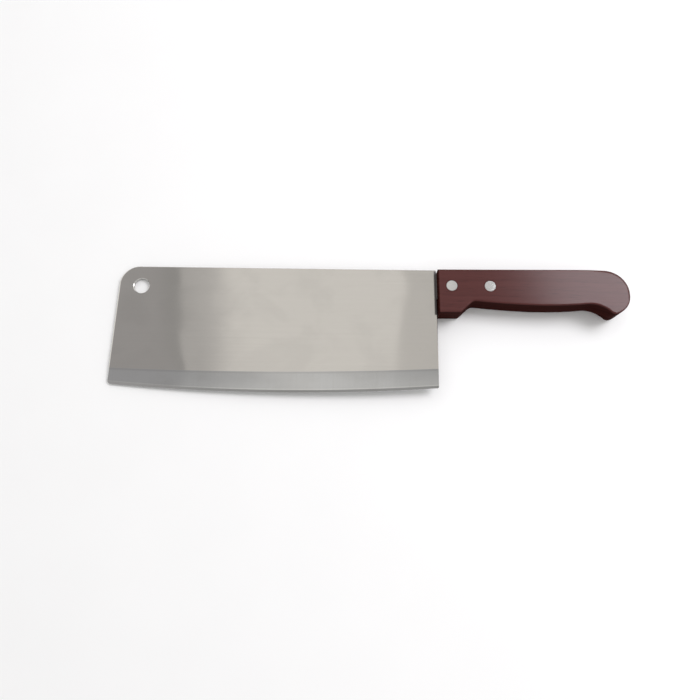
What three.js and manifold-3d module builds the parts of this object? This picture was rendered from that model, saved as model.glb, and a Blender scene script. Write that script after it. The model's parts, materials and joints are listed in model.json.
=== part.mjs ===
import * as THREE from 'three';
import { mergeVertices } from 'three/addons/utils/BufferGeometryUtils.js';
import Module from 'manifold-3d';

// A kitchen cleaver lying on its side, in millimetres.
//
// It is drawn in the knife's own frame and then laid down. In that frame x runs from the tip of the blade
// to the butt of the handle and is 0 at the heel, y rises towards the spine and is 0 on it, and z leaves
// the side of the blade and is 0 in the middle of the sheet.

// Driving dimensions

const BLADE = {
  length: 203, // heel to tip
  endDepth: 77.4, // spine to cutting edge, at the heel and at the tip
  belly: 4, // how much deeper the cutting edge is half way along
  thickness: 2, // ground and polished on both sides
  tipRadius: 12, // upper corner of the tip
  toeRadius: 2.5, // lower corner of the tip
  heelRadius: 1, // lower corner of the heel
};

const GRIND = {
  tipWidth: 10, // ground strip along the edge, at the tip
  heelWidth: 12, // the same at the heel
  belly: 2.2, // how far the upper limit of the strip sags half way along
  honedWidth: 1.5, // last strip, honed at a steeper angle
  shoulder: 0.8, // steel left where the honed strip starts
  edge: 0.2, // steel left on the edge itself
};

const HANG_HOLE = {
  diameter: 10,
  fromTip: 14.2,
  fromSpine: 13.3,
};

const TANG = {
  length: 44, // behind the heel
  depth: 17.5,
  thickness: 2.2, // the sheet as rolled
  endRadius: 7, // lower corner of its end
  sunk: 0.3, // below the back of the handle
};

const HANDLE = {
  length: 120.8,
  drop: 1.7, // front of its back, below the spine
  rise: 0.55, // degrees, from the spine's line towards the butt
  thickness: 14,
  rounding: 1.4, // along every edge but the front ones, which are sawn square
  guardDepth: 28.9, // deep front part that stops the fingers
  guardLength: 13.4,
  guardSlope: 43, // degrees
  guardNose: 0.5, // corner of the flat side, where the guard ends
  guardFillet: 4, // hollow corner, where the guard meets the grip
  gripDepth: 21.2, // just behind the guard
  swellSlope: 6, // degrees, at which the grip swells from the guard and from the hook
  neckDepth: 23.1, // just before the hook
  neckFromButt: 26.6,
  hookRadius: 18, // hollow of the hook
  buttRadius: 15.2,
  beakNose: 2.2, // point of the hook on the flat side
};

const RIVET = {
  head: 7, // diameter
  headHeight: 2,
  sleeve: 4.8, // diameter of the hollow half
  pin: 2.8, // diameter of the solid half
  pinEngagement: 8.5, // length of pin inside the sleeve
  sleeveGap: 0.6, // left between the sleeve's end and the other head
  sunk: 0.05, // heads below the sides of the handle
  fromFront: 8.6, // front rivet, behind the front of the handle
  fromTangEnd: 11.05, // rear rivet, before the end of the tang
  fromBack: 11.2, // below the back of the handle
};

const GAP = 0.25; // left for glue, and between pieces that bear on each other

const SEGMENTS = { edge: 32, curve: 10, bevel: 3, rivet: 28 }; // facets of the round shapes

const SAME_POINT = 1e-5; // corners of triangles closer than this are one point

// Materials

const STEEL = new THREE.MeshStandardMaterial({ color: 0xb4b6b8, roughness: 0.32, metalness: 1 });
const WOOD = new THREE.MeshStandardMaterial({ color: 0x57373a, roughness: 0.42, metalness: 0 });
const RIVET_METAL = new THREE.MeshStandardMaterial({ color: 0xc9cbcd, roughness: 0.4, metalness: 1 });

// Places that several pieces share

const heelSide = GAP; // front of the handle, seated against the heel
const handleBack = -HANDLE.drop;
const tangBack = handleBack - TANG.sunk;
const tangFoot = tangBack - TANG.depth;
const handleSide = HANDLE.thickness / 2;
const bladeSide = BLADE.thickness / 2;
const rivetPlaces = [heelSide + RIVET.fromFront, TANG.length - RIVET.fromTangEnd]
  .map((x) => new THREE.Vector2(x, handleBack - RIVET.fromBack));

// Solids

const wasm = await Module();
wasm.setup();

// Turns a closed three.js geometry into a solid that can be joined and cut.
function solidFrom(geometry) {
  const bare = geometry.clone();
  bare.deleteAttribute('normal');
  bare.deleteAttribute('uv');
  const merged = mergeVertices(bare, SAME_POINT);
  return new wasm.Manifold(new wasm.Mesh({
    numProp: 3,
    vertProperties: new Float32Array(merged.attributes.position.array),
    triVerts: new Uint32Array(merged.index.array),
  }));
}

// Turns a solid back into a flat-shaded geometry.
function geometryFrom(solid) {
  const mesh = solid.getMesh();
  const indexed = new THREE.BufferGeometry();
  indexed.setAttribute('position', new THREE.BufferAttribute(mesh.vertProperties, 3));
  indexed.setIndex(new THREE.BufferAttribute(mesh.triVerts, 1));
  const geometry = indexed.toNonIndexed();
  geometry.computeVertexNormals();
  return geometry;
}

// A plate of the given outline, with its middle at z = 0.
function plate(outline, thickness) {
  const geometry = new THREE.ExtrudeGeometry(outline, {
    depth: thickness,
    bevelEnabled: false,
    curveSegments: SEGMENTS.curve,
  });
  return geometry.translate(0, 0, -thickness / 2);
}

// A round bar along z, between two heights.
function bar(place, diameter, low, high) {
  const geometry = new THREE.CylinderGeometry(diameter / 2, diameter / 2, high - low, SEGMENTS.rivet);
  return geometry.rotateX(Math.PI / 2).translate(place.x, place.y, (low + high) / 2);
}

// A closed body through rings of points, each ring given as an x and a list of (y, z).
function loft(rings) {
  const count = rings[0].section.length;
  const points = rings.flatMap(({ x, section }) => section.flatMap((point) => [x, point.x, point.y]));
  const faces = [];
  for (let ring = 0; ring + 1 < rings.length; ring += 1) {
    for (let corner = 0; corner < count; corner += 1) {
      const a = ring * count + corner;
      const b = ring * count + (corner + 1) % count;
      faces.push(a, b, b + count, a, b + count, a + count);
    }
  }
  const last = (rings.length - 1) * count;
  for (const [a, b, c] of THREE.ShapeUtils.triangulateShape(rings[0].section, [])) {
    faces.push(a, c, b);
    faces.push(last + a, last + b, last + c);
  }
  const geometry = new THREE.BufferGeometry();
  geometry.setAttribute('position', new THREE.Float32BufferAttribute(points, 3));
  geometry.setIndex(faces);
  return geometry;
}

// Outlines

// The arc that rounds the corner at a point, on the way between two others.
function cornerArc(from, at, to, radius) {
  const back = from.clone().sub(at).normalize();
  const ahead = to.clone().sub(at).normalize();
  const half = Math.acos(back.dot(ahead)) / 2;
  const reach = radius / Math.tan(half);
  const centre = back.clone().add(ahead).setLength(radius / Math.sin(half)).add(at);
  const start = back.multiplyScalar(reach).add(at);
  const end = ahead.multiplyScalar(reach).add(at);
  return { centre, radius, start, end };
}

function drawArc(outline, { centre, radius, start, end }) {
  const first = start.clone().sub(centre);
  const last = end.clone().sub(centre);
  outline.absarc(centre.x, centre.y, radius, first.angle(), last.angle(), first.cross(last) < 0);
}

function roundCorner(outline, from, at, to, radius) {
  drawArc(outline, cornerArc(from, at, to, radius));
}

// Where two circles cross, on the left of the way from the first centre to the second.
function crossing(centreA, radiusA, centreB, radiusB) {
  const way = centreB.clone().sub(centreA);
  const along = (radiusA ** 2 - radiusB ** 2 + way.lengthSq()) / (2 * way.length());
  const aside = Math.sqrt(radiusA ** 2 - along ** 2);
  way.normalize();
  const left = new THREE.Vector2(-way.y, way.x);
  return centreA.clone().addScaledVector(way, along).addScaledVector(left, aside);
}

// A round hole, drawn against the clock because the outlines run with it.
function roundHole(place, diameter) {
  return new THREE.Path().absarc(place.x, place.y, diameter / 2, 0, 2 * Math.PI, false);
}

// Blade

// 0 at the heel and at the tip, and 1 half way between them.
function alongBelly(x) {
  return 1 - (1 + 2 * x / BLADE.length) ** 2;
}

function edgeHeight(x) {
  return -BLADE.endDepth - BLADE.belly * alongBelly(x);
}

function grindHeight(x) {
  const width = THREE.MathUtils.mapLinear(x, -BLADE.length, 0, GRIND.tipWidth, GRIND.heelWidth);
  return -BLADE.endDepth + width - GRIND.belly * alongBelly(x);
}

// Draws the tang from the heel to its end and back to the heel.
function drawTang(outline) {
  const endTop = new THREE.Vector2(TANG.length, tangBack);
  const endFoot = new THREE.Vector2(TANG.length, tangFoot);
  const root = new THREE.Vector2(0, tangFoot);
  outline.lineTo(0, tangBack);
  outline.lineTo(endTop.x, endTop.y);
  roundCorner(outline, endTop, endFoot, root, TANG.endRadius);
  outline.lineTo(root.x, root.y);
}

function tangOutline() {
  const outline = new THREE.Shape();
  outline.moveTo(0, (tangBack + tangFoot) / 2);
  drawTang(outline);
  outline.closePath();
  return outline;
}

function bladeOutline() {
  const tip = -BLADE.length;
  const edgeStep = BLADE.length / SEGMENTS.edge;
  const toe = new THREE.Vector2(tip, edgeHeight(tip));
  const heel = new THREE.Vector2(0, edgeHeight(0));
  const tipCorner = new THREE.Vector2(tip, 0);
  const spineEnd = new THREE.Vector2(0, 0);
  const beforeHeel = new THREE.Vector2(-edgeStep, edgeHeight(-edgeStep));
  const afterToe = new THREE.Vector2(tip + edgeStep, edgeHeight(tip + edgeStep));

  const outline = new THREE.Shape();
  outline.moveTo(spineEnd.x, spineEnd.y);
  drawTang(outline);
  roundCorner(outline, spineEnd, heel, beforeHeel, BLADE.heelRadius);
  for (let step = 1; step < SEGMENTS.edge; step += 1) {
    const x = -step * edgeStep;
    outline.lineTo(x, edgeHeight(x));
  }
  roundCorner(outline, afterToe, toe, tipCorner, BLADE.toeRadius);
  roundCorner(outline, toe, tipCorner, spineEnd, BLADE.tipRadius);
  outline.closePath();
  return outline;
}

// What the grinding wheel and the hone take off one side, from past the tip to past the heel.
// The side is 1 for the upper one and -1 for the lower one.
function grindingCut(side) {
  const past = BLADE.thickness;
  const step = (BLADE.length + 2 * past) / SEGMENTS.edge;
  const rings = [];
  for (let ring = 0; ring <= SEGMENTS.edge; ring += 1) {
    const x = -BLADE.length - past + ring * step;
    const edge = edgeHeight(x);
    const section = [
      new THREE.Vector2(grindHeight(x), side * bladeSide),
      new THREE.Vector2(grindHeight(x), side * (bladeSide + past)),
      new THREE.Vector2(edge - past, side * (bladeSide + past)),
      new THREE.Vector2(edge - past, side * GRIND.edge / 2),
      new THREE.Vector2(edge, side * GRIND.edge / 2),
      new THREE.Vector2(edge + GRIND.honedWidth, side * GRIND.shoulder / 2),
    ];
    rings.push({ x, section: side > 0 ? section : section.reverse() });
  }
  return loft(rings);
}

function bladeGeometry() {
  const blade = bladeOutline();
  const tang = tangOutline();
  const hangHole = new THREE.Vector2(HANG_HOLE.fromTip - BLADE.length, -HANG_HOLE.fromSpine);
  const rivetHoles = rivetPlaces.map((place) => roundHole(place, RIVET.sleeve + 2 * GAP));
  blade.holes.push(roundHole(hangHole, HANG_HOLE.diameter), ...rivetHoles);
  tang.holes.push(...rivetHoles);
  let solid = solidFrom(plate(blade, BLADE.thickness)).add(solidFrom(plate(tang, TANG.thickness)));
  for (const side of [1, -1]) {
    solid = solid.subtract(solidFrom(grindingCut(side)));
  }
  return geometryFrom(solid);
}

// Handle

// Wood past the front of the handle, sawn off after the edges are rounded.
const frontWaste = 2 * HANDLE.rounding;

// The outline of the wood, with the front of the handle's back at 0, before it is tilted to its rise.
function handleOutline() {
  const slope = THREE.MathUtils.degToRad(HANDLE.swellSlope);
  const guardSlope = THREE.MathUtils.degToRad(HANDLE.guardSlope);
  const guardRadius = HANDLE.rounding + HANDLE.guardNose;
  const beakRadius = HANDLE.rounding + HANDLE.beakNose;

  const buttCentre = new THREE.Vector2(HANDLE.length - HANDLE.buttRadius, -HANDLE.buttRadius);
  const hookCentre = new THREE.Vector2(
    HANDLE.length - HANDLE.neckFromButt,
    -HANDLE.neckDepth - HANDLE.hookRadius,
  );
  const beakCentre = crossing(
    buttCentre,
    HANDLE.buttRadius - beakRadius,
    hookCentre,
    HANDLE.hookRadius + beakRadius,
  );
  const buttEnd = beakCentre.clone().sub(buttCentre).angle();
  const hookStart = beakCentre.clone().sub(hookCentre).angle();
  const hookEnd = Math.PI / 2 + slope;

  const wasteTop = new THREE.Vector2(-frontWaste, 0);
  const wasteFoot = new THREE.Vector2(-frontWaste, -HANDLE.guardDepth);
  const guardEnd = new THREE.Vector2(HANDLE.guardLength, -HANDLE.guardDepth);
  const guardRise = HANDLE.guardDepth - HANDLE.gripDepth;
  const gripFront = guardEnd.clone().add(new THREE.Vector2(guardRise / Math.tan(guardSlope), guardRise));
  const towardsHook = new THREE.Vector2(Math.cos(slope), -Math.sin(slope));
  const guardHollow = cornerArc(gripFront.clone().add(towardsHook), gripFront, guardEnd, HANDLE.guardFillet);

  const gripEnd = new THREE.Vector2(Math.cos(hookEnd), Math.sin(hookEnd))
    .multiplyScalar(HANDLE.hookRadius)
    .add(hookCentre);
  const third = gripEnd.distanceTo(guardHollow.start) / 3;
  const swellRear = new THREE.Vector2(-towardsHook.x, towardsHook.y).multiplyScalar(third).add(gripEnd);
  const swellFront = towardsHook.clone().multiplyScalar(third).add(guardHollow.start);

  const outline = new THREE.Shape();
  outline.moveTo(gripFront.x, 0);
  outline.lineTo(buttCentre.x, 0);
  outline.absarc(buttCentre.x, buttCentre.y, HANDLE.buttRadius, Math.PI / 2, buttEnd, true);
  outline.absarc(beakCentre.x, beakCentre.y, beakRadius, buttEnd, hookStart + Math.PI, true);
  outline.absarc(hookCentre.x, hookCentre.y, HANDLE.hookRadius, hookStart, hookEnd, false);
  outline.bezierCurveTo(
    swellRear.x,
    swellRear.y,
    swellFront.x,
    swellFront.y,
    guardHollow.start.x,
    guardHollow.start.y,
  );
  drawArc(outline, guardHollow);
  roundCorner(outline, gripFront, guardEnd, wasteFoot, guardRadius);
  roundCorner(outline, guardEnd, wasteFoot, wasteTop, frontWaste);
  roundCorner(outline, wasteFoot, wasteTop, new THREE.Vector2(gripFront.x, 0), frontWaste);
  outline.closePath();
  return outline;
}

// The saw cut that takes the tang, open at the front and along the back.
function slotOutline() {
  const end = TANG.length + GAP;
  const foot = tangFoot - GAP;
  const past = HANDLE.thickness;
  const corner = new THREE.Vector2(end, foot);
  const endTop = new THREE.Vector2(end, handleBack + past);
  const mouthFoot = new THREE.Vector2(heelSide - past, foot);

  const outline = new THREE.Shape();
  outline.moveTo(mouthFoot.x, endTop.y);
  outline.lineTo(endTop.x, endTop.y);
  roundCorner(outline, endTop, corner, mouthFoot, TANG.endRadius + GAP);
  outline.lineTo(mouthFoot.x, mouthFoot.y);
  outline.closePath();
  return outline;
}

function handleGeometry() {
  const block = new THREE.ExtrudeGeometry(handleOutline(), {
    depth: HANDLE.thickness - 2 * HANDLE.rounding,
    bevelThickness: HANDLE.rounding,
    bevelSize: HANDLE.rounding,
    bevelOffset: -HANDLE.rounding,
    bevelSegments: SEGMENTS.bevel,
    curveSegments: SEGMENTS.curve,
  });
  block.translate(0, 0, HANDLE.rounding - handleSide);
  const waste = new THREE.BoxGeometry(2 * frontWaste, 4 * HANDLE.guardDepth, 2 * HANDLE.thickness);
  waste.translate(-frontWaste, 0, 0);
  let solid = solidFrom(block)
    .subtract(solidFrom(waste))
    .rotate([0, 0, HANDLE.rise])
    .translate([heelSide, handleBack, 0])
    .subtract(solidFrom(plate(slotOutline(), TANG.thickness + 2 * GAP)));

  const past = handleSide + RIVET.headHeight;
  const seat = handleSide - RIVET.sunk - RIVET.headHeight - GAP;
  for (const place of rivetPlaces) {
    const shank = bar(place, RIVET.sleeve + 2 * GAP, -past, past);
    const upperHead = bar(place, RIVET.head + 2 * GAP, seat, past);
    const lowerHead = bar(place, RIVET.head + 2 * GAP, -past, -seat);
    for (const cut of [shank, upperHead, lowerHead]) {
      solid = solid.subtract(solidFrom(cut));
    }
  }
  return geometryFrom(solid);
}

// Rivets

// A turned piece on the z axis, from a profile of (radius, height) that starts and ends on the axis.
function turned(profile) {
  const points = profile.map(([radius, height]) => new THREE.Vector2(radius, height));
  return new THREE.LatheGeometry(points, SEGMENTS.rivet).rotateX(Math.PI / 2);
}

const headTop = handleSide - RIVET.sunk;
const headFoot = headTop - RIVET.headHeight;
const sleeveEnd = RIVET.sleeveGap - headFoot;
const pinEnd = sleeveEnd + RIVET.pinEngagement;

function sleeveGeometry() {
  const bore = RIVET.pin / 2 + GAP;
  return turned([
    [0, pinEnd + GAP],
    [bore, pinEnd + GAP],
    [bore, sleeveEnd],
    [RIVET.sleeve / 2, sleeveEnd],
    [RIVET.sleeve / 2, headFoot],
    [RIVET.head / 2, headFoot],
    [RIVET.head / 2, headTop],
    [0, headTop],
  ]);
}

function pinGeometry() {
  return turned([
    [0, -headTop],
    [RIVET.head / 2, -headTop],
    [RIVET.head / 2, -headFoot],
    [RIVET.pin / 2, -headFoot],
    [RIVET.pin / 2, pinEnd],
    [0, pinEnd],
  ]);
}

// Assembly

const knife = new THREE.Group();

function addPiece(name, geometry, material) {
  const piece = new THREE.Mesh(geometry, material);
  piece.name = name;
  knife.add(piece);
  return piece;
}

addPiece('blade', bladeGeometry(), STEEL);
addPiece('handle', handleGeometry(), WOOD);
['front', 'rear'].forEach((where, index) => {
  const { x, y } = rivetPlaces[index];
  addPiece(`${where}_rivet_sleeve`, sleeveGeometry(), RIVET_METAL).position.set(x, y, 0);
  addPiece(`${where}_rivet_pin`, pinGeometry(), RIVET_METAL).position.set(x, y, 0);
});

// The handle is thicker than the blade, so the cleaver leans on the front of the handle and on the tip.
const lift = handleSide - bladeSide;
const reach = BLADE.length + heelSide;
knife.rotation.y = -Math.atan2(lift, reach);

// The origin is on the table, under the middle of the cleaver.
const cleaver = new THREE.Group();
cleaver.add(knife);
const box = new THREE.Box3().setFromObject(cleaver, true);
const middle = box.getCenter(new THREE.Vector3());
knife.position.set(-middle.x, -middle.y, -box.min.z);

export default cleaver;
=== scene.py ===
# %% [markdown]
# # A cleaver in satin steel and dark wood
#
# The packed CAD part is the frame: it holds the true sizes, and it stays where it is. Around it this
# lesson builds the same six pieces again with finer meshes and real finishes, lays them on a pale floor
# and sets the camera where the photographer stood. Lengths are written in millimetres, as on a maker's
# drawing, and turned into Blender's metres at the last moment.

# %% Load the frame
import json
import math

import bmesh
import bpy
import numpy as np
from mathutils import Matrix, Vector
from mathutils.geometry import delaunay_2d_cdt


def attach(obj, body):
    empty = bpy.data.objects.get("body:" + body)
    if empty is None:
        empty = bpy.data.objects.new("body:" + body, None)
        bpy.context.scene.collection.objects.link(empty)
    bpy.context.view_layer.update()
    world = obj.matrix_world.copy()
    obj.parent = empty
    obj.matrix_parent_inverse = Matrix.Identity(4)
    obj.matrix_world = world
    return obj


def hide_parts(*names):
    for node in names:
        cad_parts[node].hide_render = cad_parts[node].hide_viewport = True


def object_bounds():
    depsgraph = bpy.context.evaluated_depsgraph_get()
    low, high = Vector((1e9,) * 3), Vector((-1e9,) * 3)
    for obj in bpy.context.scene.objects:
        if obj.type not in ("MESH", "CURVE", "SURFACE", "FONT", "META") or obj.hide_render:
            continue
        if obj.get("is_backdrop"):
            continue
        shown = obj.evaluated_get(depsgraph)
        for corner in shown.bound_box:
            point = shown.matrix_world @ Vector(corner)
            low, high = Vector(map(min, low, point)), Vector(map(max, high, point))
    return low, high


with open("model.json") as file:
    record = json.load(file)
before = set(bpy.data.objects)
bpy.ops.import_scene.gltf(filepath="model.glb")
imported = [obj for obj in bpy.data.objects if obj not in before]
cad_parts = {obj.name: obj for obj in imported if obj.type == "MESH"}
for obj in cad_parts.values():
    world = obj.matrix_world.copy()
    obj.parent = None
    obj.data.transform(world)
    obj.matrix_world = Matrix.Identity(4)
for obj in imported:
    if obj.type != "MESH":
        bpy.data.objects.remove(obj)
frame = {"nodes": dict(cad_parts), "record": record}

MM = 0.001
cad_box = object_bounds()
print("CAD nodes:", sorted(frame["nodes"]))
print("CAD box in mm:", [[round(c / MM, 2) for c in corner] for corner in cad_box])

# %% [markdown]
# ## The knife's own frame
#
# On the table the cleaver leans: the handle is thicker than the blade, so the heel is lifted and the tip
# touches. Drawing in a leaning frame is awkward. So every piece is drawn flat, with x along the spine and
# 0 at the heel, y towards the spine and 0 on it, and z out of the blade's side and 0 in mid-sheet. One
# matrix then lays the piece down. The record's blade_side mount gives the leaning direction, and the CAD
# blade's own corners give the place.

# %% Find the leaning frame
BLADE_LENGTH = 203

sheet_normal = next(Vector(m["axis"]) for m in frame["record"]["mounts"] if m["name"] == "blade_side")
z_axis = sheet_normal.normalized()
x_axis = Vector((0, 1, 0)).cross(z_axis)
y_axis = z_axis.cross(x_axis)
leaning = Matrix((x_axis, y_axis, z_axis)).transposed()

flat_corners = [leaning.transposed() @ v.co for v in frame["nodes"]["blade"].data.vertices]
tip_x = min(c.x for c in flat_corners)
spine_y = max(c.y for c in flat_corners)
middle_z = (min(c.z for c in flat_corners) + max(c.z for c in flat_corners)) / 2
heel_on_spine = leaning @ Vector((tip_x + BLADE_LENGTH * MM, spine_y, middle_z))
KNIFE = Matrix.Translation(heel_on_spine) @ leaning.to_4x4()
print("lean:", round(math.degrees(math.asin(x_axis.z)), 2), "degrees")
print("heel on the spine, in mm:", [round(c / MM, 2) for c in heel_on_spine])

# %% [markdown]
# ## Camera
#
# The photograph is square. Its lens and place were worked out from the straight spine, the round hanging
# hole and the two rivets: a short lens close to the knife, a little on the cutting edge's side of straight
# above. A camera can be aimed with a Track To constraint, but here its three axes are known, so they go
# straight into its matrix.

# %% Set the camera
PHOTO_SIDE = 700
FOCAL_PIXELS = 546
CAMERA_TILT = math.radians(15.5)
CAMERA_TURN = math.radians(0.8)
CAMERA_REACH = 339.37
AIM = Vector((-54.717, -53.958, 0))


def put_in_scene(name, data):
    made = bpy.data.objects.new(name, data)
    bpy.context.scene.collection.objects.link(made)
    return made


to_camera = Vector((
    math.sin(CAMERA_TILT) * math.sin(CAMERA_TURN),
    -math.sin(CAMERA_TILT) * math.cos(CAMERA_TURN),
    math.cos(CAMERA_TILT),
))
to_right = Vector((math.cos(CAMERA_TURN), math.sin(CAMERA_TURN), 0))
to_top = to_camera.cross(to_right)
stand = Matrix((to_right, to_top, to_camera)).transposed().to_4x4()
stand.translation = (AIM + to_camera * CAMERA_REACH) * MM

camera_data = bpy.data.cameras.new("photo_camera")
camera_data.sensor_width = 36
camera_data.lens = camera_data.sensor_width * FOCAL_PIXELS / PHOTO_SIDE
camera_data.clip_start = 10 * MM
camera = put_in_scene("photo_camera", camera_data)
camera.matrix_world = KNIFE @ stand
bpy.context.scene.camera = camera
print("lens:", round(camera_data.lens, 2), "mm, at", [round(c, 3) for c in camera.matrix_world.translation])

# %% [markdown]
# ## Node maths in plain Python
#
# A material is a net of nodes. Wiring each Math node by hand hides the idea, so this small class wraps a
# socket: `1 - mask` or `x * 2 + y` adds the nodes by itself. Vectors go through Vector Math, and a colour
# is mixed, because a Math node would turn it grey. Every other node comes from the one method `node`,
# which takes the node's type, its settings, and what goes into its sockets.

# %% A socket that knows arithmetic
class Flow:
    """A value, vector or colour on its way through a node tree."""

    def __init__(self, tree, socket=None):
        self.tree = tree
        self.socket = socket

    def node(self, kind, settings=None, sockets=None):
        made = self.tree.nodes.new(kind)
        for name, value in (settings or {}).items():
            setattr(made, name, value)
        for name, value in (sockets or {}).items():
            into = made.inputs[name] if isinstance(name, int) else find_socket(made.inputs, name)
            if isinstance(value, Flow):
                self.tree.links.new(value.socket, into)
            else:
                into.default_value = value
        shown = [s for s in made.outputs if s.enabled]
        return Flow(self.tree, shown[0] if shown else None)

    def __getitem__(self, name):
        return Flow(self.tree, find_socket(self.socket.node.outputs, name))

    def maths(self, operation, first, second):
        if "VECTOR" in (self.socket.type, getattr(getattr(second, "socket", None), "type", "")):
            return self.node("ShaderNodeVectorMath", {"operation": operation}, {0: first, 1: second})
        return self.node("ShaderNodeMath", {"operation": operation}, {0: first, 1: second})

    def __add__(self, other):
        return self.maths("ADD", self, other)

    def __radd__(self, other):
        return self.maths("ADD", other, self)

    def __sub__(self, other):
        return self.maths("SUBTRACT", self, other)

    def __rsub__(self, other):
        return self.maths("SUBTRACT", other, self)

    def __mul__(self, other):
        return self.maths("MULTIPLY", self, other)

    def __rmul__(self, other):
        return self.maths("MULTIPLY", other, self)


def find_socket(sockets, name):
    return next(s for s in sockets if s.enabled and s.name == name)


print("Flow can", [name.strip("_") for name, made in vars(Flow).items() if callable(made)])

# %% [markdown]
# A few steps come back in every finish: the place on the piece in millimetres, a distance, a soft
# threshold, a mix of two colours, noise that is stretched to a grain, and a bump. The place is the object's
# own coordinate, so the pattern stays with the piece wherever it goes.

# %% Steps that every finish uses
def new_finish(name):
    material = bpy.data.materials.new(name)
    material.use_nodes = True
    material.node_tree.nodes.clear()
    return material, Flow(material.node_tree)


def place_in_mm(start):
    return start.node("ShaderNodeTexCoord")["Object"] * (1 / MM, 1 / MM, 1 / MM)


def parts_of(vector):
    return vector.node("ShaderNodeSeparateXYZ", {}, {"Vector": vector})


def distance(start, parts):
    vector = start.node("ShaderNodeCombineXYZ", {}, parts)
    return start.node("ShaderNodeVectorMath", {"operation": "LENGTH"}, {0: vector})["Value"]


def rise(value, low, high, bottom=0.0, top=1.0):
    return value.node("ShaderNodeMapRange", {"interpolation_type": "SMOOTHSTEP"}, {
        "Value": value, "From Min": low, "From Max": high, "To Min": bottom, "To Max": top,
    })


def mix_colours(share, first, second):
    return share.node("ShaderNodeMix", {"data_type": "RGBA"}, {"Factor": share, "A": first, "B": second})


def mix_values(share, first, second):
    return share.node("ShaderNodeMix", {"data_type": "FLOAT"}, {"Factor": share, "A": first, "B": second})


def grain(place, stretch, detail=2.0, roughness=0.5, distortion=0.0):
    return place.node("ShaderNodeTexNoise", {}, {
        "Vector": place * stretch, "Scale": 1.0, "Detail": detail, "Roughness": roughness,
        "Distortion": distortion,
    })


def bump(height):
    return height.node("ShaderNodeBump", {}, {"Height": height, "Distance": 1.0, "Strength": 1.0})


def principled(start, material, sockets):
    shader = start.node("ShaderNodeBsdfPrincipled", {}, sockets)
    start.node("ShaderNodeOutputMaterial", {}, {"Surface": shader})
    print("finish", material.name, "has", len(material.node_tree.nodes), "nodes")


# %% [markdown]
# ## Floor and light
#
# A pale floor stands in for the white table of a product photograph. The steel is nearly a mirror, so the
# light is arranged for what the blade reflects. The sky of this studio is nearly even, only a little brighter
# behind the knife than in front of it. Overhead it is grey, slightly lighter on the left, with a soft glow in
# the middle. A weak panel round the glow gives the steel the two edges that show in its reflection, and a
# stronger panel on the right lays a sheen on the handle.

# %% Floor
FLOOR_HALF = 8000
FLOOR_GREY = (0.92, 0.92, 0.915, 1)
FLOOR_WHITE = (0.95, 0.95, 0.945, 1)


def mesh_object(name, mesh):
    """Puts a drawn mesh into the scene as an object."""
    data = bpy.data.meshes.new(name)
    mesh.to_mesh(data)
    mesh.free()
    return put_in_scene(name, data)


floor_mesh = bmesh.new()
floor_corners = [(-1, -1), (1, -1), (1, 1), (-1, 1)]
floor_mesh.faces.new([floor_mesh.verts.new((x, y, 0)) for x, y in floor_corners])
floor_mesh.transform(Matrix.Scale(FLOOR_HALF * MM, 4))
floor = mesh_object("floor", floor_mesh)
floor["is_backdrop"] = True

floor_paint, start = new_finish("pale_floor")
mottle = grain(place_in_mm(start), (0.02, 0.02, 0.02))
principled(start, floor_paint, {
    "Base Color": mix_colours(mottle, FLOOR_GREY, FLOOR_WHITE),
    "Roughness": 0.65,
    "Specular IOR Level": 0.2,
})
floor.data.materials.append(floor_paint)

# %% Soft studio light
OVERHEAD = (0.42, 0.415, 0.41, 1)
LEFT_SIDE = (0.465, 0.455, 0.455, 1)
GLOW = (0.75, 0.735, 0.71, 1)
BEHIND = (1.2, 1.2, 1.2, 1)
IN_FRONT = (0.8, 0.8, 0.8, 1)
HORIZON = (0.86, 0.86, 0.86, 1)
WARM_WHITE = (1, 0.975, 0.94)
COOL_WHITE = (0.985, 0.972, 1.015)
PANEL_HEIGHT = 1000

world = bpy.data.worlds.new("studio")
bpy.context.scene.world = world
world.use_nodes = True
world.node_tree.nodes.clear()
start = Flow(world.node_tree)
way = parts_of(start.node("ShaderNodeTexCoord")["Generated"])
dome = mix_colours(rise(way["Y"], -0.7, 0.7), IN_FRONT, BEHIND)
dome = mix_colours(rise(way["Z"], 0.02, 0.25), HORIZON, dome)
glow = rise(way["X"], -0.3, -0.22) * rise(way["X"], 0.24, 0.13) * rise(way["Y"], 0.03, 0.16)
overhead = mix_colours(rise(way["X"], -0.33, -0.38), OVERHEAD, LEFT_SIDE)
dome = mix_colours(rise(way["Z"], 0.6, 0.86), dome, mix_colours(glow, overhead, GLOW))
backdrop = start.node("ShaderNodeBackground", {}, {"Color": dome})
start.node("ShaderNodeOutputWorld", {}, {"Surface": backdrop})
bpy.context.scene.view_settings.view_transform = "Standard"


def panel(name, low, high, watts_per_m2, colour):
    """A soft light panel facing down, between two corners in the knife's frame."""
    light = bpy.data.lights.new(name, "AREA")
    light.shape = "RECTANGLE"
    light.size = (high[0] - low[0]) * MM
    light.size_y = (high[1] - low[1]) * MM
    light.energy = watts_per_m2 * light.size * light.size_y
    light.color = colour
    lamp = put_in_scene(name, light)
    middle = Vector(((low[0] + high[0]) / 2, (low[1] + high[1]) / 2, PANEL_HEIGHT))
    lamp.matrix_world = KNIFE @ Matrix.Translation(middle * MM)
    lamp.visible_camera = False
    print(name, round(light.size, 2), "by", round(light.size_y, 2), "m,", round(light.energy, 2), "W")


panel("blade_panel", low=(-490, 20), high=(75, 700), watts_per_m2=0.62, colour=WARM_WHITE)
panel("handle_panel", low=(435, 100), high=(1300, 760), watts_per_m2=22.5, colour=COOL_WHITE)

# %% [markdown]
# ## Outlines
#
# The blade and the handle are both cut from flat stock, so each starts as an outline that runs
# anticlockwise round the piece. Holes run the other way, which keeps the stock on the left of every line.
# A corner is rounded by an arc that touches both its sides.

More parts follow.
